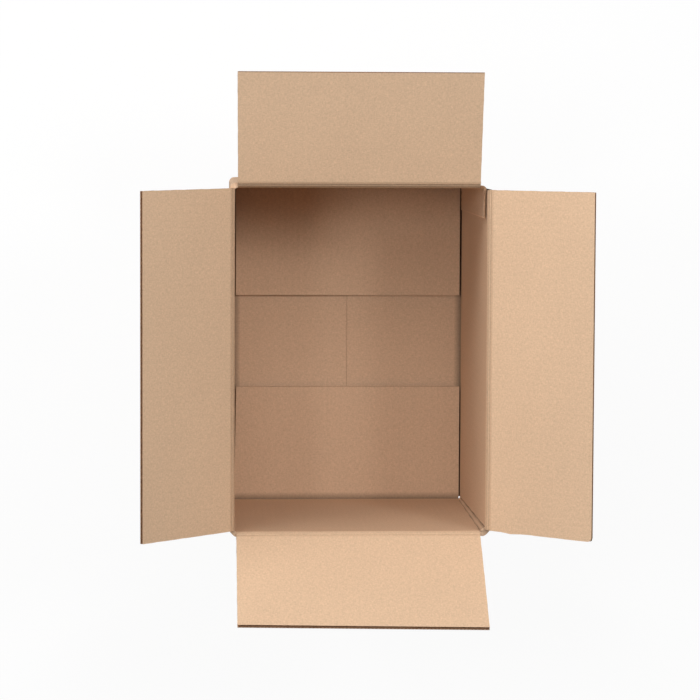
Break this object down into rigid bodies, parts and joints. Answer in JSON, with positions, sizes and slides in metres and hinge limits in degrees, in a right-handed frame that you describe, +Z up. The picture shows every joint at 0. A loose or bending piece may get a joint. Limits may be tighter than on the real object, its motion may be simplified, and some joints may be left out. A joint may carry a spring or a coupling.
{
  "type": "double wall corrugated box",
  "caption": "Open regular slotted carton of plain double wall corrugated board, with hinged top flaps raised outwards and a closed flap bottom.",
  "frame": {"origin": "under the middle of the open box's overall extents, on the surface that the carton stands on", "axes": "+Z up through the open mouth, Y along the long walls with the back flap and the glue tab's wall towards +Y, X along the short walls with the tab glued inside the +X wall"},
  "size_m": [0.4012, 0.4902, 0.344],
  "materials": {
    "kraft_inside": "matt brown kraft liner, inside of the box",
    "kraft_flap": "matt brown kraft liner, open top flaps with open flute ends"
  },
  "bodies": {
    "carton": {"carton_body": "kraft_inside"},
    "back_flap": {"back_flap": "kraft_flap"},
    "front_flap": {"front_flap": "kraft_flap"},
    "left_flap": {"left_flap": "kraft_flap"},
    "right_flap": {"right_flap": "kraft_flap"}
  },
  "joints": [
    {"name": "back_flap_crease", "type": "hinge", "parent": "carton", "child": "back_flap", "pos_m": [-0.00106, 0.14482, 0.2491], "axis": [1, 0, 0], "range_deg": [-100.5, 149.5]},
    {"name": "front_flap_crease", "type": "hinge", "parent": "carton", "child": "front_flap", "pos_m": [-0.00106, -0.17478, 0.2491], "axis": [-1, 0, 0], "range_deg": [-123, 127]},
    {"name": "left_flap_crease", "type": "hinge", "parent": "carton", "child": "left_flap", "pos_m": [-0.11886, -0.01498, 0.2539], "axis": [0, 1, 0], "range_deg": [-115.5, 134.5]},
    {"name": "right_flap_crease", "type": "hinge", "parent": "carton", "child": "right_flap", "pos_m": [0.11674, -0.01498, 0.2539], "axis": [0, -1, 0], "range_deg": [-114, 136]}
  ]
}
